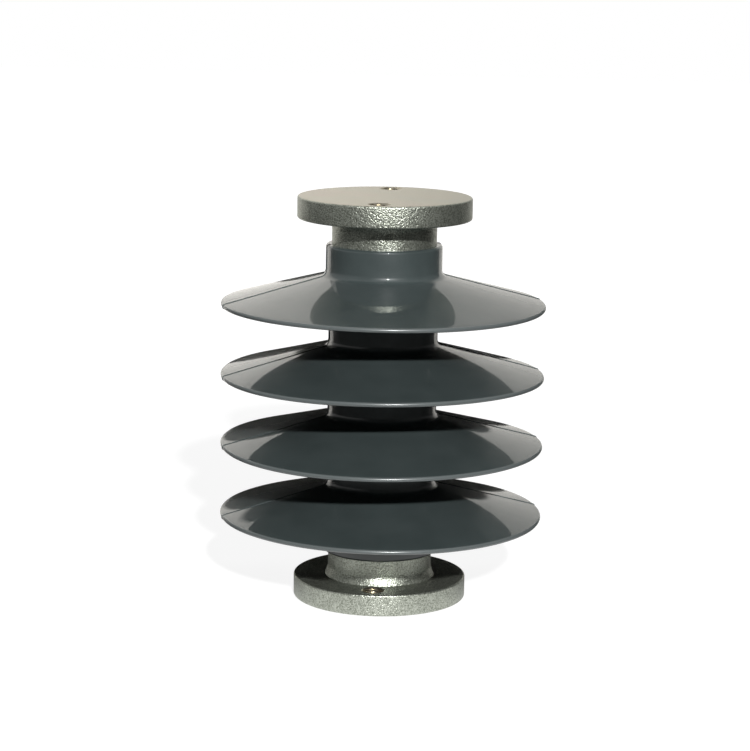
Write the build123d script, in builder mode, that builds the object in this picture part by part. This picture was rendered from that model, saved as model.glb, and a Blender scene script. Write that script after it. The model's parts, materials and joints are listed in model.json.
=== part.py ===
from build123d import *
import os
from math import cos, radians, sin, tan

# Composite post insulator for 10 to 12 kV lines: a glass-fibre core rod crimped into two
# galvanised steel end fittings, with a silicone rubber housing of four equal sheds moulded
# over the rod and over the sleeves of the fittings.
#
# Frame: millimetres, +Z up along the axis of the insulator. The origin is the centre of the
# bottom fitting's outer face. The tapped holes of both flanges lie on the Y axis.

os.makedirs("parts", exist_ok=True)

# ---- whole insulator ----
overall_height = 215.0        # between the outer faces of the two flanges

# ---- end fittings ----
flange_diameter = 92.0
flange_thickness = 11.5
flange_edge_radius = 1.0      # rounded edges of the flange rim
sleeve_diameter = 55.2        # the neck that shows between flange and rubber
sleeve_length = 52.0          # outer face of the flange to the mouth of the sleeve
neck_flare_height = 4.4       # the neck swells a little where it meets the flange
neck_flare_width = 1.6
neck_length = 13.5            # bare steel between each flange and the rubber
socket_floor = 12.0           # steel left between the outer face and the rod's end

# ---- tapped holes in the flanges ----
tap_drill_diameter = 10.2     # core hole for an M12 thread
tap_mouth_diameter = 12.2     # countersunk mouth of the thread
hole_rim_distance = 10.0      # middle of a hole to the flange's rim
holes_per_flange = 2

# ---- core rod ----
rod_diameter = 38.0
rod_end_chamfer = 1.5
crimp_fit = 0.05              # radial, rod in socket

# ---- sealing rings, one in the mouth of each sleeve ----
seal_width = 3.5              # radial
seal_height = 5.0
seal_corner_chamfer = 0.6
seal_fit = 0.05               # on every side of the ring

# ---- silicone housing ----
shed_diameter = 171.4
shed_count = 4
lowest_shed_height = 45.0     # middle of the lowest rim, above the bottom face
top_shed_depth = 57.0         # middle of the highest rim, below the top face
shed_rim_thickness = 2.4
shed_top_slope = 15.0         # degrees
shed_underside_slope = 8.0    # degrees
shed_top_fillet = 4.0         # at the root, above each shed
shed_underside_fillet = 2.5   # at the root, below each shed
sheath_diameter = 57.8
collar_diameter = 61.4        # over the fitting sleeves, at both ends of the housing
collar_edge_radius = 1.6
rubber_fit = 0.05             # radial, rubber on rod and sleeves

# ---- moulding flash, where the two halves of the mould met ----
flash_height = 0.3
flash_width = 0.5
flash_angle = 17.0            # degrees from +X to the plane between the mould halves

# ---- derived places ----
flange_radius = flange_diameter / 2
sleeve_radius = sleeve_diameter / 2
rod_radius = rod_diameter / 2
socket_radius = rod_radius + crimp_fit
seal_seat_radius = rod_radius + seal_width + 2 * seal_fit
seal_seat_floor = sleeve_length - seal_height - 2 * seal_fit
shed_radius = shed_diameter / 2
sheath_radius = sheath_diameter / 2
collar_radius = collar_diameter / 2
hole_circle_radius = flange_radius - hole_rim_distance
housing_bottom = flange_thickness + neck_length
housing_top = overall_height - housing_bottom
shed_stack = overall_height - top_shed_depth - lowest_shed_height
shed_pitch = shed_stack / (shed_count - 1)
shed_heights = [lowest_shed_height + i * shed_pitch for i in range(shed_count)]
middle = Plane.XY.offset(overall_height / 2)


# ---- bottom fitting: flange, neck and blind socket in one, with the holes tapped through ----
with BuildPart() as bottom_fitting:
    with BuildSketch(Plane.XZ) as fitting_section:
        with BuildLine():
            rim = Polyline(
                (0, 0),
                (flange_radius, 0),
                (flange_radius, flange_thickness),
                (sleeve_radius + neck_flare_width, flange_thickness),
            )
            neck_foot = (sleeve_radius, flange_thickness + neck_flare_height)
            TangentArc(neck_foot, rim @ 1, tangent=(0, -1))
            Polyline(
                neck_foot,
                (sleeve_radius, sleeve_length),
                (seal_seat_radius, sleeve_length),
                (seal_seat_radius, seal_seat_floor),
                (socket_radius, seal_seat_floor),
                (socket_radius, socket_floor),
                (0, socket_floor),
                (0, 0),
            )
        make_face()
        fillet(fitting_section.vertices().group_by(Axis.X)[-1], flange_edge_radius)
    revolve(axis=Axis.Z)
    for face_plane in (Plane.XY.offset(flange_thickness), Plane.XY.rotated((180, 0, 0))):
        with Locations(face_plane):
            with PolarLocations(hole_circle_radius, holes_per_flange, start_angle=90):
                CounterSinkHole(tap_drill_diameter / 2, tap_mouth_diameter / 2, flange_thickness / 2, 90)

bottom_fitting.part.label = "bottom_fitting"
export_step(bottom_fitting.part, "parts/bottom_fitting.step")


# ---- top fitting: the same piece, turned over ----
with BuildPart() as top_fitting:
    mirror(bottom_fitting.part, about=middle)

top_fitting.part.label = "top_fitting"
export_step(top_fitting.part, "parts/top_fitting.step")


# ---- core rod: from the floor of one socket to the floor of the other ----
with BuildPart() as core_rod:
    with BuildSketch(Plane.XY.offset(socket_floor)):
        Circle(rod_radius)
    extrude(amount=overall_height - 2 * socket_floor)
    chamfer(core_rod.edges().filter_by(GeomType.CIRCLE), rod_end_chamfer)

core_rod.part.label = "core_rod"
export_step(core_rod.part, "parts/core_rod.step")


# ---- sealing rings: pressed round the rod into the mouths of the two sleeves ----
with BuildPart() as bottom_seal_ring:
    with BuildSketch(Plane.XZ):
        ring_centre = (
            rod_radius + seal_fit + seal_width / 2,
            sleeve_length - seal_fit - seal_height / 2,
        )
        with Locations(ring_centre):
            ring_section = Rectangle(seal_width, seal_height)
        chamfer(ring_section.vertices(), seal_corner_chamfer)
    revolve(axis=Axis.Z)

bottom_seal_ring.part.label = "bottom_seal_ring"
export_step(bottom_seal_ring.part, "parts/bottom_seal_ring.step")

with BuildPart() as top_seal_ring:
    mirror(bottom_seal_ring.part, about=middle)

top_seal_ring.part.label = "top_seal_ring"
export_step(top_seal_ring.part, "parts/top_seal_ring.step")


# ---- housing: sheath, sheds and collars moulded in one ----
rim_radius = shed_rim_thickness / 2
top_tangent = tan(radians(shed_top_slope))
underside_tangent = tan(radians(shed_underside_slope))
root_rise = (shed_radius - sheath_radius) * (top_tangent + underside_tangent) / 2
lowest_root = shed_heights[0] + root_rise
highest_root = shed_heights[-1] + root_rise

with BuildSketch() as housing_section:
    for low, high, radius in (
        (housing_bottom, lowest_root, collar_radius),
        (lowest_root, highest_root, sheath_radius),
        (highest_root, housing_top, collar_radius),
    ):
        with Locations((0, low)):
            Rectangle(radius, high - low, align=Align.MIN)
    for height in shed_heights:
        with BuildLine():
            rim = CenterArc(
                (shed_radius - rim_radius, height),
                rim_radius,
                start_angle=-90 - shed_underside_slope,
                arc_size=180 - shed_top_slope + shed_underside_slope,
            )
            rim_low, rim_high = rim @ 0, rim @ 1
            Polyline(
                rim_high,
                (0, rim_high.Y + rim_high.X * top_tangent),
                (0, rim_low.Y + rim_low.X * underside_tangent),
                rim_low,
            )
        make_face()
    corners = housing_section.vertices().filter_by_position(Axis.X, sheath_radius - 0.01, collar_radius + 0.01)
    lower_end, *roots, upper_end = corners.sort_by(Axis.Y)
    fillet(roots[0::2], shed_underside_fillet)
    fillet(roots[1::2], shed_top_fillet)
    fillet([lower_end, upper_end], collar_edge_radius)

flash_direction = (cos(radians(flash_angle)), sin(radians(flash_angle)), 0)
flash_normal = (sin(radians(flash_angle)), -cos(radians(flash_angle)), 0)
flash_plane = Plane((0, 0, 0), x_dir=flash_direction, z_dir=flash_normal)

with BuildPart() as housing:
    with BuildSketch(Plane.XZ):
        add(housing_section.sketch)
    revolve(axis=Axis.Z)
    with BuildSketch(flash_plane):
        offset(housing_section.sketch, amount=flash_height)
        mirror(about=Plane.YZ)
    extrude(amount=flash_width / 2, both=True)
    # the hollow that the rod and the two sleeves fill
    with BuildSketch(Plane.XZ):
        with Locations((0, overall_height / 2)):
            Rectangle(rod_radius + rubber_fit, overall_height, align=(Align.MIN, Align.CENTER))
        for place, side in ((0, Align.MIN), (overall_height, Align.MAX)):
            with Locations((0, place)):
                Rectangle(sleeve_radius + rubber_fit, sleeve_length, align=(Align.MIN, side))
    revolve(axis=Axis.Z, mode=Mode.SUBTRACT)

housing.part.label = "housing"
export_step(housing.part, "parts/housing.step")
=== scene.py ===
import json
from math import asin, cos, hypot, pi, radians, sin, tan

import bpy
from mathutils import Matrix, Vector


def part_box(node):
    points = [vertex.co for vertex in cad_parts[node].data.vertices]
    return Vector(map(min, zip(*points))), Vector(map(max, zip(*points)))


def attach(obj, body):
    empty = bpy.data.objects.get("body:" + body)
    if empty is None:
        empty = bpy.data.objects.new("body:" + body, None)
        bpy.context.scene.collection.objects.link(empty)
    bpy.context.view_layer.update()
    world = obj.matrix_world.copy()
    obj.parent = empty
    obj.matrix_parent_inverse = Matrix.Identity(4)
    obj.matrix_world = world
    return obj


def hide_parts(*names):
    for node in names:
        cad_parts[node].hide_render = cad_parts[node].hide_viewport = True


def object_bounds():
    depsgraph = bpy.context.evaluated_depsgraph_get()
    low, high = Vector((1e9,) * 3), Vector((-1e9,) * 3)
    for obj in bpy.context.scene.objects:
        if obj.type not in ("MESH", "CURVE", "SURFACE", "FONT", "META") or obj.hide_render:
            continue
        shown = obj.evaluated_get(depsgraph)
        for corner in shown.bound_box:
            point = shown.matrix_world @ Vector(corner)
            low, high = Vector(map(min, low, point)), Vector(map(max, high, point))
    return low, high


# A composite post insulator: two galvanised steel fittings on a glass-fibre rod, inside a
# moulded silicone rubber housing with four sheds. Sizes and outlines are in millimetres, from
# the axis and above the bottom face, and become metres when they are turned into meshes. The
# floor, the lamps and the camera, at the end, are placed in metres.

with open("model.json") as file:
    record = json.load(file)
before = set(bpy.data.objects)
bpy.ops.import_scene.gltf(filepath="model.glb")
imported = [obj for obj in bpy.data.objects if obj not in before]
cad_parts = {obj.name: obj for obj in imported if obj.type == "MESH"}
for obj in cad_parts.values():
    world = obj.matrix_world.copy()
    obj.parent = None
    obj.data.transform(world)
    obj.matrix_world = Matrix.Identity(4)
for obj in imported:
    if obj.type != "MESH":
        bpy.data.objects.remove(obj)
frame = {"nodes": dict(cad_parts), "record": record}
cad_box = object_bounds()

MM = 0.001

# ---- sizes of the whole insulator ----
OVERALL_HEIGHT = cad_box[1].z / MM
ROD_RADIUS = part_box("core_rod")[1].x / MM
FIT = 0.05                    # radial clearance of the rod, and of the rubber on the sleeves

# ---- sizes of the fittings ----
fitting_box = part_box("bottom_fitting")
FLANGE_RADIUS = fitting_box[1].x / MM
FLANGE_THICKNESS = 11.5
FLANGE_EDGE = 1.0
SLEEVE_RADIUS = 27.6
SLEEVE_LENGTH = fitting_box[1].z / MM
SLEEVE_MOUTH_EDGE = 0.4
NECK_FLARE_HEIGHT = 4.4
NECK_FLARE_WIDTH = 1.6
NECK_FLARE_ROUNDING = 6.0
NECK_FOOT_ROUNDING = 0.3
SEAL_SEAT_RADIUS = 22.6
SEAL_SEAT_DEPTH = 5.1
SEAL_SEAT_EDGE = 0.2
SOCKET_FLOOR = 12.0

# ---- sizes of the tapped holes ----
mounts = {mount["name"]: mount for mount in frame["record"]["mounts"]}
HOLE_PLACE = mounts["bottom_bolts"]["dims"]["spacing_y_mm"] / 2
THREAD_CORE_RADIUS = mounts["bottom_bolts"]["dims"]["hole_r_mm"]
THREAD_MOUTH_RADIUS = 6.1
THREAD_DEPTH = 0.95
THREAD_PITCH = 1.75
GROOVE_SLOPE = 2.3            # depths that a groove would lose over one whole pitch

# ---- sizes of the housing ----
SHED_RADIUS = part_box("housing")[1].x / MM
SHED_COUNT = 4
LOWEST_SHED = 45.0
HIGHEST_SHED = 158.0
SHED_PITCH = (HIGHEST_SHED - LOWEST_SHED) / (SHED_COUNT - 1)
TOP_DEGREES = 15.0            # slope of the sheds' tops
UNDERSIDE_DEGREES = 8.0       # slope of their undersides
TOP_SLOPE = tan(radians(TOP_DEGREES))
UNDERSIDE_SLOPE = tan(radians(UNDERSIDE_DEGREES))
RIM_THICKNESS = 2.4
# where the two slopes would meet the upright at the rim's tip, in half rim thicknesses above
# and below the rim's middle
RIM_HIGH = tan(radians((90 - TOP_DEGREES) / 2))
RIM_LOW = tan(radians((90 + UNDERSIDE_DEGREES) / 2))
TOP_FILLET = 4.0
UNDERSIDE_FILLET = 2.5
SHEATH_RADIUS = 28.9
COLLAR_RADIUS = 30.7
COLLAR_EDGE = 1.6
HOUSING_BOTTOM = 25.0
HOUSING_TOP = 190.0

# ---- the marks that moulding and softness leave on the housing ----
FLASH_HEIGHT = 0.3
FLASH_WIDTH = 0.5
FLASH_ANGLE = radians(17.0)
SHED_WAVE = 0.35              # how far a rim strays up and down
WAVES_AROUND = 2
WAVE_SHIFT = 1.9              # radians from one shed's wave to the next one's

# ---- how fine the meshes are ----
ARC_STEP = radians(9)
LEAST_ARC_STEPS = 3
FITTING_RUN = 6.0             # longest straight run between two points of an outline
HOUSING_RUN = 3.5
FITTING_SEGMENTS = 160
THREAD_SEGMENTS = 48
THREAD_LEVELS = 10            # in one turn of a thread
HOUSING_SEGMENTS = 108        # in each half of the housing, between the flash lines
FLASH_MARGIN = radians(2.2)   # from a flash line to the nearest of those
ACROSS_FLASH = (-2.4, -1.0, -0.5, 0.0, 0.5, 1.0, 2.4)   # mesh lines, in half flash widths
STEEL_CREASE = radians(35)    # edges sharper than this aren't smoothed
RUBBER_CREASE = radians(50)


# ---- outlines ----
def rounded(corners, closed=False):
    """Points along a line through (radius, height, rounding) corners, each corner an arc."""
    points = []
    count = len(corners)
    for index, (x, y, rounding) in enumerate(corners):
        if rounding == 0 or (not closed and index in (0, count - 1)):
            points.append((x, y))
            continue
        corner = Vector((x, y))
        before = (Vector(corners[index - 1][:2]) - corner).normalized()
        after = (Vector(corners[(index + 1) % count][:2]) - corner).normalized()
        half_angle = before.angle(after) / 2
        centre = corner + (before + after).normalized() * rounding / sin(half_angle)
        start = corner + before * rounding / tan(half_angle) - centre
        end = corner + after * rounding / tan(half_angle) - centre
        sweep = start.angle_signed(end)
        steps = max(LEAST_ARC_STEPS, round(abs(sweep) / ARC_STEP))
        for step in range(steps + 1):
            turn = Matrix.Rotation(-sweep * step / steps, 2)
            points.append(tuple(centre + turn @ start))
    return points


def refined(points, longest, closed=False):
    """The same line with no run longer than about the given length."""
    fine = []
    count = len(points)
    for index in range(count if closed else count - 1):
        start = Vector(points[index])
        end = Vector(points[(index + 1) % count])
        steps = max(1, round((end - start).length / longest))
        fine += [tuple(start.lerp(end, step / steps)) for step in range(steps)]
    if not closed:
        fine.append(points[-1])
    return fine


def fitting_outline():
    """Half section of an end fitting, from the axis out round the flange and back."""
    corners = [
        (0, 0, 0),
        (FLANGE_RADIUS, 0, FLANGE_EDGE),
        (FLANGE_RADIUS, FLANGE_THICKNESS, FLANGE_EDGE),
        (SLEEVE_RADIUS + NECK_FLARE_WIDTH, FLANGE_THICKNESS, NECK_FOOT_ROUNDING),
        (SLEEVE_RADIUS, FLANGE_THICKNESS + NECK_FLARE_HEIGHT, NECK_FLARE_ROUNDING),
        (SLEEVE_RADIUS, SLEEVE_LENGTH, SLEEVE_MOUTH_EDGE),
        (SEAL_SEAT_RADIUS, SLEEVE_LENGTH, SEAL_SEAT_EDGE),
        (SEAL_SEAT_RADIUS, SLEEVE_LENGTH - SEAL_SEAT_DEPTH, 0),
        (ROD_RADIUS + FIT, SLEEVE_LENGTH - SEAL_SEAT_DEPTH, 0),
        (ROD_RADIUS + FIT, SOCKET_FLOOR, 0),
        (0, SOCKET_FLOOR, 0),
    ]
    return refined(rounded(corners), FITTING_RUN)


def shed_corners(shed):
    """Corners of one shed, from its root below, round its rim, to its root above."""
    below = COLLAR_RADIUS if shed == 0 else SHEATH_RADIUS
    above = COLLAR_RADIUS if shed == SHED_COUNT - 1 else SHEATH_RADIUS
    half_rim = RIM_THICKNESS / 2
    middle = LOWEST_SHED + shed * SHED_PITCH
    rim_low = middle - half_rim * RIM_LOW
    rim_high = middle + half_rim * RIM_HIGH
    return [
        (below, rim_low + (SHED_RADIUS - below) * UNDERSIDE_SLOPE, UNDERSIDE_FILLET),
        (SHED_RADIUS, rim_low, half_rim),
        (SHED_RADIUS, rim_high, half_rim),
        (above, rim_high + (SHED_RADIUS - above) * TOP_SLOPE, TOP_FILLET),
    ]


def housing_outline():
    """Closed half section of the housing: up its outside and down its bore."""
    sleeve = SLEEVE_RADIUS + FIT
    rod = ROD_RADIUS + FIT
    corners = [(COLLAR_RADIUS, HOUSING_BOTTOM, COLLAR_EDGE)]
    for shed in range(SHED_COUNT):
        corners += shed_corners(shed)
    corners += [
        (COLLAR_RADIUS, HOUSING_TOP, COLLAR_EDGE),
        (sleeve, HOUSING_TOP, 0),
        (sleeve, OVERALL_HEIGHT - SLEEVE_LENGTH, 0),
        (rod, OVERALL_HEIGHT - SLEEVE_LENGTH, 0),
        (rod, SLEEVE_LENGTH, 0),
        (sleeve, SLEEVE_LENGTH, 0),
        (sleeve, HOUSING_BOTTOM, 0),
    ]
    return refined(rounded(corners, closed=True), HOUSING_RUN, closed=True)


# ---- meshes ----
def object_from(name, points, faces):
    """An object from points in millimetres."""
    mesh = bpy.data.meshes.new(name)
    mesh.from_pydata([Vector(point) * MM for point in points], [], faces)
    made = bpy.data.objects.new(name, mesh)
    bpy.context.scene.collection.objects.link(made)
    return made


def smooth(piece, crease):
    """Shades the piece smooth, but for edges sharper than the crease angle."""
    mesh = piece.data
    mesh.polygons.foreach_set("use_smooth", [True] * len(mesh.polygons))
    mesh.set_sharp_from_angle(angle=crease)


def turned(name, outline, segments):
    """A solid of revolution whose outline starts and ends on the axis."""
    points = [(0, 0, outline[0][1])]
    for radius, height in outline[1:-1]:
        for segment in range(segments):
            angle = 2 * pi * segment / segments
            points.append((radius * cos(angle), radius * sin(angle), height))
    points.append((0, 0, outline[-1][1]))
    rings = len(outline) - 2
    last = len(points) - 1
    faces = []
    for segment in range(segments):
        beside = (segment + 1) % segments
        faces.append((0, 1 + beside, 1 + segment))
        for ring in range(rings - 1):
            low = 1 + ring * segments
            high = low + segments
            faces.append((low + segment, low + beside, high + beside, high + segment))
        top = 1 + (rings - 1) * segments
        faces.append((top + segment, top + beside, last))
    return object_from(name, points, faces)


def thread_cutter(name):
    """The air in a tapped hole: a threaded cylinder with a countersink at each end, which
    stands a little out of both faces of the flange."""
    spare = 0.5
    length = FLANGE_THICKNESS + 2 * spare
    levels = round(length / THREAD_PITCH * THREAD_LEVELS)
    points = []
    for level in range(levels + 1):
        height = length * level / levels - spare
        from_mouth = min(height, FLANGE_THICKNESS - height)
        countersink = THREAD_MOUTH_RADIUS - from_mouth
        for step in range(THREAD_SEGMENTS):
            phase = (height / THREAD_PITCH - step / THREAD_SEGMENTS) % 1.0
            groove = max(0.0, 1.0 - GROOVE_SLOPE * abs(phase - 0.5)) * THREAD_DEPTH
            radius = max(THREAD_CORE_RADIUS + groove, countersink)
            angle = 2 * pi * step / THREAD_SEGMENTS
            points.append((radius * cos(angle), radius * sin(angle), height))
    faces = [tuple(reversed(range(THREAD_SEGMENTS)))]
    for level in range(levels):
        low = level * THREAD_SEGMENTS
        high = low + THREAD_SEGMENTS
        for step in range(THREAD_SEGMENTS):
            beside = (step + 1) % THREAD_SEGMENTS
            faces.append((low + step, low + beside, high + beside, high + step))
    faces.append(tuple(range(levels * THREAD_SEGMENTS, (levels + 1) * THREAD_SEGMENTS)))
    return object_from(name, points, faces)


def cut(solid, cutter):
    """Takes the cutter's shape out of the solid, and removes the cutter."""
    modifier = solid.modifiers.new("cut", "BOOLEAN")
    modifier.operation = "DIFFERENCE"
    modifier.solver = "EXACT"
    modifier.object = cutter
    depsgraph = bpy.context.evaluated_depsgraph_get()
    mesh = bpy.data.meshes.new_from_object(solid.evaluated_get(depsgraph))
    solid.modifiers.clear()
    solid.data = mesh
    bpy.data.objects.remove(cutter)


def end_fitting(name):
    """The bottom fitting: a turned body with its two tapped holes."""
    fitting = turned(name, fitting_outline(), FITTING_SEGMENTS)
    for side in (-1, 1):
        cutter = thread_cutter("thread_cutter")
        cutter.location = (0, side * HOLE_PLACE * MM, 0)
        cut(fitting, cutter)
    smooth(fitting, STEEL_CREASE)
    return fitting


def housing_columns():
    """Where the housing's mesh lines run, as angles and offsets: close together across a flash
    line, each at its own offset from the line's middle, and at even angles with no offset."""
    columns = []
    for side in (0, 1):
        joint = FLASH_ANGLE + side * pi
        columns += [(joint, place * FLASH_WIDTH / 2) for place in ACROSS_FLASH]
        for step in range(HOUSING_SEGMENTS + 1):
            angle = joint + FLASH_MARGIN + (pi - 2 * FLASH_MARGIN) * step / HOUSING_SEGMENTS
            columns.append((angle, None))
    return columns


def shed_wave(radius, height, angle):
    """How far a point strays up or down: most at the rims, and not at all on the sheath."""
    reach = max(0.0, (radius - SHEATH_RADIUS) / (SHED_RADIUS - SHEATH_RADIUS))
    nearest_shed = round((height - LOWEST_SHED) / SHED_PITCH)
    return SHED_WAVE * reach ** 2 * sin(WAVES_AROUND * angle + WAVE_SHIFT * nearest_shed)


def moulded_housing(name):
    """The housing as one skin, with the flash standing proud in the plane between the moulds."""
    outline = housing_outline()
    count = len(outline)
    columns = housing_columns()
    points = []
    for joint, offset in columns:
        for index, (radius, height) in enumerate(outline):
            on_outside = radius > SLEEVE_RADIUS + 2 * FIT
            angle = joint
            if offset is not None:
                if on_outside:
                    along = Vector(outline[(index + 1) % count]) - Vector(outline[index - 1])
                    outward = Vector((along.y, -along.x)).normalized()
                    rise = max(0.0, 1 - (2 * offset / FLASH_WIDTH) ** 2) * FLASH_HEIGHT
                    radius += outward.x * rise
                    height += outward.y * rise
                angle += asin(offset / radius)
            height += shed_wave(radius, height, angle)
            points.append((radius * cos(angle), radius * sin(angle), height))
    faces = []
    for column in range(len(columns)):
        here = column * count
        beside = (column + 1) % len(columns) * count
        for index in range(count):
            above = (index + 1) % count
            faces.append((here + index, beside + index, beside + above, here + above))
    housing = object_from(name, points, faces)
    smooth(housing, RUBBER_CREASE)
    return housing


# ---- materials ----
def linear(hex_colour):
    """A linear RGBA colour from an sRGB hex value."""
    channels = [int(hex_colour[place:place + 2], 16) / 255 for place in (1, 3, 5)]
    return [c / 12.92 if c <= 0.04045 else ((c + 0.055) / 1.055) ** 2.4 for c in channels] + [1.0]


def per_metre(millimetres):
    """The texture scale that makes a pattern repeat about every so many millimetres."""
    return 1.0 / (millimetres * MM)


def add(tree, kind, inputs=None, stops=(), **settings):
    """Adds a node with its settings. inputs gives a value or another node's output for each
    named socket, and stops gives a colour ramp's places and their sRGB hex colours."""
    made = tree.nodes.new(kind)
    for name, value in settings.items():
        setattr(made, name, value)
    for socket, value in (inputs or {}).items():
        if isinstance(value, bpy.types.NodeSocket):
            tree.links.new(value, made.inputs[socket])
        else:
            made.inputs[socket].default_value = value
    elements = made.color_ramp.elements if stops else ()
    for place, _ in stops[1:-1]:
        elements.new(place)
    for element, (place, colour) in zip(elements, stops):
        element.position = place
        element.color = linear(colour)
    return made


def from_axis(tree, place):
    """How far a place is from the insulator's axis."""
    flat = add(tree, "ShaderNodeVectorMath", {0: place, 1: (1.0, 1.0, 0.0)}, operation="MULTIPLY")
    length = add(tree, "ShaderNodeVectorMath", {0: flat.outputs["Vector"]}, operation="LENGTH")
    return length.outputs["Value"]


def material(finish):
    """A material named for its finish, a function that makes the surface from the position."""
    made = bpy.data.materials.new(finish.__name__)
    made.use_nodes = True
    tree = made.node_tree
    tree.nodes.clear()
    place = add(tree, "ShaderNodeNewGeometry").outputs["Position"]
    add(tree, "ShaderNodeOutputMaterial", {"Surface": finish(tree, place)})
    return made


def moulded_silicone_rubber(tree, place):
    """Silicone rubber, compression moulded: a smooth, glossy slate-grey skin that mirrors its
    surroundings, faintly clouded over 18 mm and hazy over 9 mm, with very shallow waves of
    7 mm from the polished mould. The rims of the sheds are painted paler, a painted highlight,
    and their coat is duller."""
    clouds = add(tree, "ShaderNodeTexNoise", {"Vector": place, "Scale": per_metre(18), "Detail": 3.0})
    colour = add(tree, "ShaderNodeValToRGB", {"Fac": clouds.outputs["Fac"]},
                 stops=[(0.3, "#384040"), (0.7, "#3E4646")])
    rim = add(tree, "ShaderNodeMapRange", {
        "Value": from_axis(tree, place),
        "From Min": (SHED_RADIUS - RIM_THICKNESS / 2) * MM,
        "From Max": (SHED_RADIUS - RIM_THICKNESS / 3) * MM,
    }, interpolation_type="SMOOTHSTEP")
    # painted highlight: the sheds' rims are painted a paler grey
    painted_rim_highlight = add(tree, "ShaderNodeMix", {
        "Factor": rim.outputs["Result"],
        "A": colour.outputs["Color"],
        "B": linear("#555B5B"),
    }, data_type="RGBA")
    dulled = add(tree, "ShaderNodeMix", {"Factor": rim.outputs["Result"], "A": 0.02, "B": 0.25})
    haze = add(tree, "ShaderNodeTexNoise", {"Vector": place, "Scale": per_metre(9), "Detail": 4.0})
    gloss = add(tree, "ShaderNodeMapRange", {
        "Value": haze.outputs["Fac"], "To Min": 0.36, "To Max": 0.46})
    waves = add(tree, "ShaderNodeTexNoise", {"Vector": place, "Scale": per_metre(7), "Detail": 1.0})
    bump = add(tree, "ShaderNodeBump", {
        "Height": waves.outputs["Fac"], "Strength": 0.12, "Distance": 0.0002})
    return add(tree, "ShaderNodeBsdfPrincipled", {
        "Base Color": painted_rim_highlight.outputs["Result"],
        "Roughness": gloss.outputs["Result"],
        "Normal": bump.outputs["Normal"],
        "IOR": 1.43,
        "Specular IOR Level": 0.35,
        "Coat Weight": 1.0,
        "Coat Roughness": dulled.outputs["Result"],
        "Coat IOR": 1.45,
        "Coat Normal": bump.outputs["Normal"],
    }).outputs["BSDF"]


def hot_dip_galvanised_steel(tree, place):
    """Hot-dip galvanised steel: a pale zinc skin with faint spangle patches of 5 mm and a
    grain whose low spots are painted darker: painted shade that gives the zinc its sparkle. The
    grain is drawn at 0.75 mm, a little coarser than real, so that it shows."""
    spangle = add(tree, "ShaderNodeTexNoise", {"Vector": place, "Scale": per_metre(5), "Detail": 3.0})
    tone = add(tree, "ShaderNodeValToRGB", {"Fac": spangle.outputs["Fac"]},
               stops=[(0.3, "#B2B6AC"), (0.7, "#C2C6BC")])
    grain = add(tree, "ShaderNodeTexNoise", {"Vector": place, "Scale": per_metre(0.75), "Detail": 1.5})
    # painted shade: the grain's low spots are painted darker, standing in for the zinc's sparkle
    painted_grain_shade = add(tree, "ShaderNodeValToRGB", {"Fac": grain.outputs["Fac"]},
                  stops=[(0.36, "#B2B4AE"), (0.6, "#F2F2F0")])
    colour = add(tree, "ShaderNodeMix", {
        "Factor": 1.0,
        "A": tone.outputs["Color"],
        "B": painted_grain_shade.outputs["Color"],
    }, data_type="RGBA", blend_type="MULTIPLY")
    bump = add(tree, "ShaderNodeBump", {
        "Height": grain.outputs["Fac"], "Strength": 1.0, "Distance": 0.0003})
    rough = add(tree, "ShaderNodeMapRange", {
        "Value": grain.outputs["Fac"], "To Min": 0.26, "To Max": 0.46})
    return add(tree, "ShaderNodeBsdfPrincipled", {
        "Base Color": colour.outputs["Result"],
        "Metallic": 0.88,
        "Roughness": rough.outputs["Result"],
        "Normal": bump.outputs["Normal"],
    }).outputs["BSDF"]


def passivated_zinc_face(tree, place):
    """The flange's turned outer face, zinc plated and passivated: satin, a warm grey with faint
    straw and rose patches of 30 mm, and very fine turning marks. The marks are drawn 0.8 mm
    apart, coarser than real, so that they show."""
    tint = add(tree, "ShaderNodeTexNoise", {"Vector": place, "Scale": per_metre(30), "Detail": 2.0})
    colour = add(tree, "ShaderNodeValToRGB", {"Fac": tint.outputs["Fac"]},
                 stops=[(0.3, "#9E9C8C"), (0.5, "#A29D8B"), (0.7, "#A5998C")])
    marks = add(tree, "ShaderNodeMath", {
        0: from_axis(tree, place), 1: 2 * pi * per_metre(0.8)}, operation="MULTIPLY")
    wave = add(tree, "ShaderNodeMath", {0: marks.outputs["Value"]}, operation="SINE")
    bump = add(tree, "ShaderNodeBump", {
        "Height": wave.outputs["Value"], "Strength": 0.06, "Distance": 0.0001})
    return add(tree, "ShaderNodeBsdfPrincipled", {
        "Base Color": colour.outputs["Color"],
        "Metallic": 1.0,
        "Roughness": 0.3,
        "Normal": bump.outputs["Normal"],
    }).outputs["BSDF"]


def tapped_bare_steel(tree, place):
    """The cut threads: bare steel, browner than the zinc round them, with blotches of oil about
    2.5 mm wide."""
    stain = add(tree, "ShaderNodeTexNoise", {"Vector": place, "Scale": per_metre(2.5), "Detail": 3.0})
    colour = add(tree, "ShaderNodeValToRGB", {"Fac": stain.outputs["Fac"]},
                 stops=[(0.35, "#958E7C"), (0.65, "#BAB4A4")])
    return add(tree, "ShaderNodeBsdfPrincipled", {
        "Base Color": colour.outputs["Color"],
        "Metallic": 1.0,
        "Roughness": 0.32,
    }).outputs["BSDF"]


def pultruded_glass_fibre(tree, place):
    """Pultruded glass fibre in epoxy: smooth, pale yellow-green, streaked along the rod by
    strands 1.2 mm wide."""
    drawn = add(tree, "ShaderNodeVectorMath", {0: place, 1: (1.0, 1.0, 0.02)}, operation="MULTIPLY")
    strands = add(tree, "ShaderNodeTexNoise", {
        "Vector": drawn.outputs["Vector"], "Scale": per_metre(1.2)})
    colour = add(tree, "ShaderNodeValToRGB", {"Fac": strands.outputs["Fac"]},
                 stops=[(0.3, "#C9CC9C"), (0.7, "#DDE0B8")])
    return add(tree, "ShaderNodeBsdfPrincipled", {
        "Base Color": colour.outputs["Color"],
        "Roughness": 0.28,
        "IOR": 1.55,
    }).outputs["BSDF"]


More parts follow.
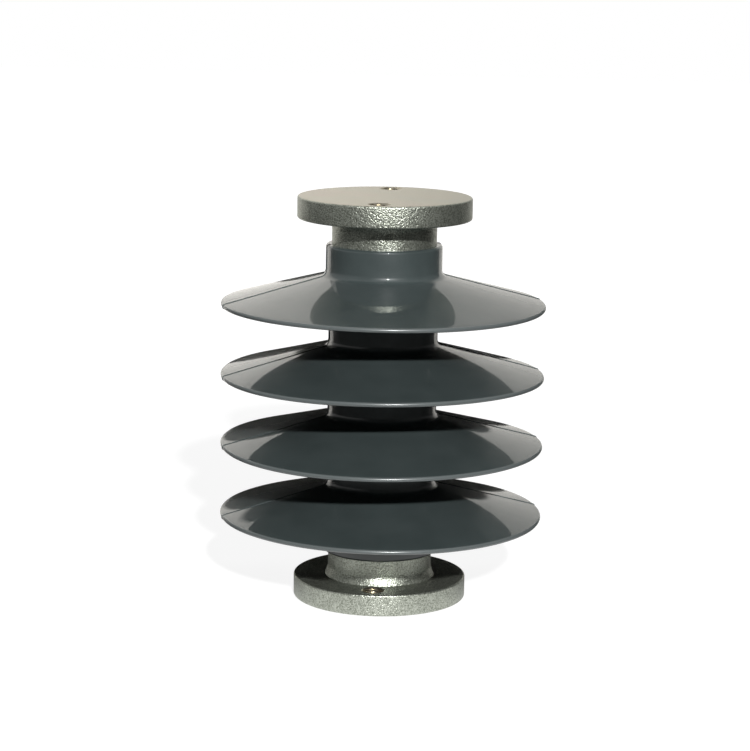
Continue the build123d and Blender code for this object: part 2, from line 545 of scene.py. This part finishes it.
def moulded_nitrile_rubber(tree, place):
    """Moulded nitrile rubber: matt black with a soft mottling of 4 mm."""
    mottle = add(tree, "ShaderNodeTexNoise", {"Vector": place, "Scale": per_metre(4), "Detail": 2.0})
    colour = add(tree, "ShaderNodeValToRGB", {"Fac": mottle.outputs["Fac"]},
                 stops=[(0.3, "#1A1B1B"), (0.7, "#232424")])
    return add(tree, "ShaderNodeBsdfPrincipled", {
        "Base Color": colour.outputs["Color"],
        "Roughness": 0.6,
    }).outputs["BSDF"]


# ---- the insulator ----
FITTING_FINISHES = [
    material(finish) for finish in (hot_dip_galvanised_steel, passivated_zinc_face, tapped_bare_steel)
]
ALL_OVER, OUTER_FACE, THREADS = range(3)
FACE_TOLERANCE = 0.05


def finish_fitting(fitting, outer_height):
    """Gives the fitting its three finishes: galvanised all over, the outer face and the threads."""
    for finish in FITTING_FINISHES:
        fitting.data.materials.append(finish)
    for polygon in fitting.data.polygons:
        x, y, z = (value / MM for value in polygon.center)
        depth = abs(z - outer_height)
        if depth < FACE_TOLERANCE:
            polygon.material_index = OUTER_FACE
        elif depth < FLANGE_THICKNESS and hypot(x, abs(y) - HOLE_PLACE) < THREAD_MOUTH_RADIUS:
            polygon.material_index = THREADS
        else:
            polygon.material_index = ALL_OVER


bottom = end_fitting("bottom_end_fitting")
top = bottom.copy()
top.data = bottom.data.copy()
top.name = "top_end_fitting"
bpy.context.scene.collection.objects.link(top)
top.data.transform(Matrix.Translation((0, 0, OVERALL_HEIGHT * MM)) @ Matrix.Rotation(pi, 4, "Y"))
for fitting, node, outer_height in (
    (bottom, "bottom_fitting", 0),
    (top, "top_fitting", OVERALL_HEIGHT),
):
    finish_fitting(fitting, outer_height)
    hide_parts(node)
    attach(fitting, "root")

housing = moulded_housing("moulded_housing")
housing.data.materials.append(material(moulded_silicone_rubber))
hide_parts("housing")
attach(housing, "root")

for node, finish in (
    ("core_rod", pultruded_glass_fibre),
    ("bottom_seal_ring", moulded_nitrile_rubber),
    ("top_seal_ring", moulded_nitrile_rubber),
):
    cad_object = frame["nodes"][node]
    cad_object.data.materials.clear()
    cad_object.data.materials.append(material(finish))


# ---- floor, light and camera, in metres ----
FRONT_TURN = radians(4.75)    # round the insulator, from straight in front towards +X
SIDEWAYS = (cos(FRONT_TURN), sin(FRONT_TURN), 0.0)
BACKWARDS = (-sin(FRONT_TURN), cos(FRONT_TURN), 0.0)

FLOOR_HALF = 4.0
FLOOR_DROP = 0.0002           # keeps the floor clear of the bottom face

PAPER_LEFT = -0.16
PAPER_RIGHT = 0.13
PAPER_HEIGHT = 0.6
PAPER_BEHIND = 0.1

CAMERA_DISTANCE = 1.3006
CAMERA_HEIGHT = 0.3679
CAMERA_PITCH = radians(10.819)
CAMERA_YAW = radians(0.171)
CAMERA_ROLL = radians(0.898)
CAMERA_LENS = 119.588


def flat_sheet(name, corners, finish):
    """A flat sheet of the stage."""
    mesh = bpy.data.meshes.new(name)
    mesh.from_pydata(corners, [], [range(len(corners))])
    mesh.materials.append(material(finish))
    sheet = bpy.data.objects.new(name, mesh)
    bpy.context.scene.collection.objects.link(sheet)
    return sheet


def white_tabletop(tree, place):
    """White laminate that keeps the shadow and looks white from everywhere. For mirrored rays it
    glows: a painted pool of light close in front that fades further out, and painted shadow behind."""
    reach = add(tree, "ShaderNodeVectorMath", {0: place}, operation="LENGTH").outputs["Value"]
    behind = add(tree, "ShaderNodeVectorMath", {0: place, 1: BACKWARDS}, operation="DOT_PRODUCT")
    # painted pool of light: mirrored rays see the floor shine brightly close to the insulator, fading
    # further out
    close = add(tree, "ShaderNodeMapRange", {
        "Value": reach, "From Min": 0.08, "From Max": 0.4, "To Min": 1.25, "To Max": 0.04,
    }, interpolation_type="SMOOTHSTEP")
    # painted shadow: the mirrored shine is dimmed behind the insulator
    painted_shadow_behind = add(tree, "ShaderNodeMapRange", {
        "Value": behind.outputs["Value"],
        "From Min": -0.05, "From Max": 0.05, "To Min": 1.0, "To Max": 0.1,
    }, interpolation_type="SMOOTHSTEP")
    painted_glow = add(tree, "ShaderNodeMath", {
        0: close.outputs["Result"], 1: painted_shadow_behind.outputs["Result"]}, operation="MULTIPLY")
    path = add(tree, "ShaderNodeLightPath")
    mirrored = add(tree, "ShaderNodeMath", {
        0: path.outputs["Is Glossy Ray"], 1: painted_glow.outputs["Value"]}, operation="MULTIPLY")
    seen = add(tree, "ShaderNodeMapRange", {
        "Value": reach, "From Min": 0.3, "From Max": 1.2, "To Min": 0.87, "To Max": 1.0,
    }, interpolation_type="SMOOTHSTEP")
    strength = add(tree, "ShaderNodeMath", {
        0: path.outputs["Is Camera Ray"],
        1: seen.outputs["Result"],
        2: mirrored.outputs["Value"],
    }, operation="MULTIPLY_ADD")
    white = add(tree, "ShaderNodeEmission", {
        "Color": linear("#FFFFFF"), "Strength": strength.outputs["Value"]})
    lit = add(tree, "ShaderNodeMix", {
        "Factor": path.outputs["Is Camera Ray"], "A": linear("#383838"), "B": linear("#818181"),
    }, data_type="RGBA")
    matt = add(tree, "ShaderNodeBsdfDiffuse", {"Color": lit.outputs["Result"]})
    return add(tree, "ShaderNodeAddShader", {
        0: white.outputs["Emission"], 1: matt.outputs["BSDF"]}).outputs["Shader"]


def white_paper(tree, place):
    """Matt cartridge paper, a warm white with painted shade that greys it towards the right."""
    sideways = add(tree, "ShaderNodeVectorMath", {0: place, 1: SIDEWAYS}, operation="DOT_PRODUCT")
    # painted shade: the paper is painted greyer towards the right, where less light reaches it
    shade = add(tree, "ShaderNodeMapRange", {
        "Value": sideways.outputs["Value"], "From Min": -0.06, "From Max": 0.1,
    }, interpolation_type="SMOOTHSTEP")
    colour = add(tree, "ShaderNodeMix", {
        "Factor": shade.outputs["Result"], "A": linear("#E7E4DE"), "B": linear("#C4C2BD"),
    }, data_type="RGBA")
    return add(tree, "ShaderNodeBsdfDiffuse", {"Color": colour.outputs["Result"]}).outputs["BSDF"]


def place_floor():
    """The tabletop that the insulator stands on."""
    far = FLOOR_HALF
    low = -FLOOR_DROP
    corners = [(-far, -far, low), (far, -far, low), (far, far, low), (-far, far, low)]
    floor = flat_sheet("floor", corners, white_tabletop)


def place_paper():
    """Paper that stands close behind, with the insulator's shadow on it. It is there only for
    the glossy surfaces to mirror."""
    left, right, high = PAPER_LEFT, PAPER_RIGHT, PAPER_HEIGHT
    corners = [(left, 0, 0), (right, 0, 0), (right, 0, high), (left, 0, high)]
    paper = flat_sheet("paper_backdrop", corners, white_paper)
    paper.matrix_world = Matrix.Rotation(FRONT_TURN, 4, "Z") @ Matrix.Translation((0, PAPER_BEHIND, 0))
    for rays in ("camera", "diffuse", "transmission", "volume_scatter", "shadow"):
        setattr(paper, "visible_" + rays, False)


def studio_world():
    """White all round for the camera. The insulator mirrors a dark room with a dim wall on the
    right, a paler one on the left and a pale ceiling, and matt surfaces get a little light."""
    world = bpy.data.worlds.new("studio")
    bpy.context.scene.world = world
    world.use_nodes = True
    tree = world.node_tree
    tree.nodes.clear()
    direction = add(tree, "ShaderNodeTexCoord").outputs["Generated"]
    height = add(tree, "ShaderNodeSeparateXYZ", {"Vector": direction}).outputs["Z"]
    sideways = add(tree, "ShaderNodeVectorMath", {
        0: direction, 1: SIDEWAYS}, operation="DOT_PRODUCT").outputs["Value"]
    either_side = add(tree, "ShaderNodeMath", {0: sideways}, operation="ABSOLUTE").outputs["Value"]
    to_wall = add(tree, "ShaderNodeMapRange", {
        "Value": either_side, "From Min": 0.3, "From Max": 0.9,
    }, interpolation_type="SMOOTHSTEP")
    wall = add(tree, "ShaderNodeMapRange", {
        "Value": sideways, "From Min": -0.3, "From Max": 0.3, "To Min": 0.36, "To Max": 0.12,
    }, interpolation_type="SMOOTHSTEP")
    ceiling = add(tree, "ShaderNodeMapRange", {
        "Value": height, "From Min": 0.5, "From Max": 0.9, "To Min": 0.0, "To Max": 0.5,
    }, interpolation_type="SMOOTHSTEP")
    walls = add(tree, "ShaderNodeMix", {
        "Factor": to_wall.outputs["Result"], "A": 0.015, "B": wall.outputs["Result"]})
    room = add(tree, "ShaderNodeMath", {
        0: walls.outputs["Result"], 1: ceiling.outputs["Result"]}, operation="ADD")
    path = add(tree, "ShaderNodeLightPath")
    mirrored = add(tree, "ShaderNodeMix", {
        "Factor": path.outputs["Is Glossy Ray"], "A": 0.04, "B": room.outputs["Value"]})
    seen = add(tree, "ShaderNodeMix", {
        "Factor": path.outputs["Is Camera Ray"], "A": mirrored.outputs["Result"], "B": 1.0})
    background = add(tree, "ShaderNodeBackground", {
        "Color": linear("#FFFFFF"), "Strength": seen.outputs["Result"]})
    add(tree, "ShaderNodeOutputWorld", {"Surface": background.outputs["Background"]})


def aimed_lamp(name, turn, elevation, distance, size, power):
    """A square lamp aimed at the middle of the insulator, at a turn from its front."""
    lamp = bpy.data.lights.new(name, "AREA")
    lamp.shape = "SQUARE"
    lamp.size = size
    lamp.energy = power
    made = bpy.data.objects.new(name, lamp)
    aim = Vector((0, 0, OVERALL_HEIGHT * MM / 2))
    away = Vector((0, -cos(elevation), sin(elevation))) * distance
    made.location = aim + Matrix.Rotation(FRONT_TURN + turn, 3, "Z") @ away
    made.rotation_euler = (aim - made.location).to_track_quat("-Z", "Y").to_euler()
    bpy.context.scene.collection.objects.link(made)
    return made


def place_lamps():
    """A small key lamp far off, above the front and a little to the right, and a softbox at each
    side of the back, which lights the edges and isn't mirrored."""
    aimed_lamp("key_lamp", turn=radians(8), elevation=radians(25.4), distance=6.0, size=0.2, power=500)
    for name, turn in (("back_left_softbox", radians(-125)), ("back_right_softbox", radians(125))):
        softbox = aimed_lamp(name, turn, elevation=radians(35), distance=1.8, size=0.7, power=6)
        softbox.visible_glossy = False


def place_camera():
    """Looks slightly down on the insulator, from a little right of its front hole."""
    camera = bpy.data.objects.new("camera", bpy.data.cameras.new("camera"))
    bpy.context.scene.collection.objects.link(camera)
    camera.data.lens = CAMERA_LENS
    camera.matrix_world = (
        Matrix.Rotation(FRONT_TURN, 4, "Z")
        @ Matrix.Translation((0, -CAMERA_DISTANCE, CAMERA_HEIGHT))
        @ Matrix.Rotation(CAMERA_YAW, 4, "Z")
        @ Matrix.Rotation(pi / 2 - CAMERA_PITCH, 4, "X")
        @ Matrix.Rotation(CAMERA_ROLL, 4, "Z")
    )
    bpy.context.scene.camera = camera


place_floor()
place_paper()
studio_world()
place_lamps()
place_camera()
bpy.context.scene.view_settings.view_transform = "Standard"
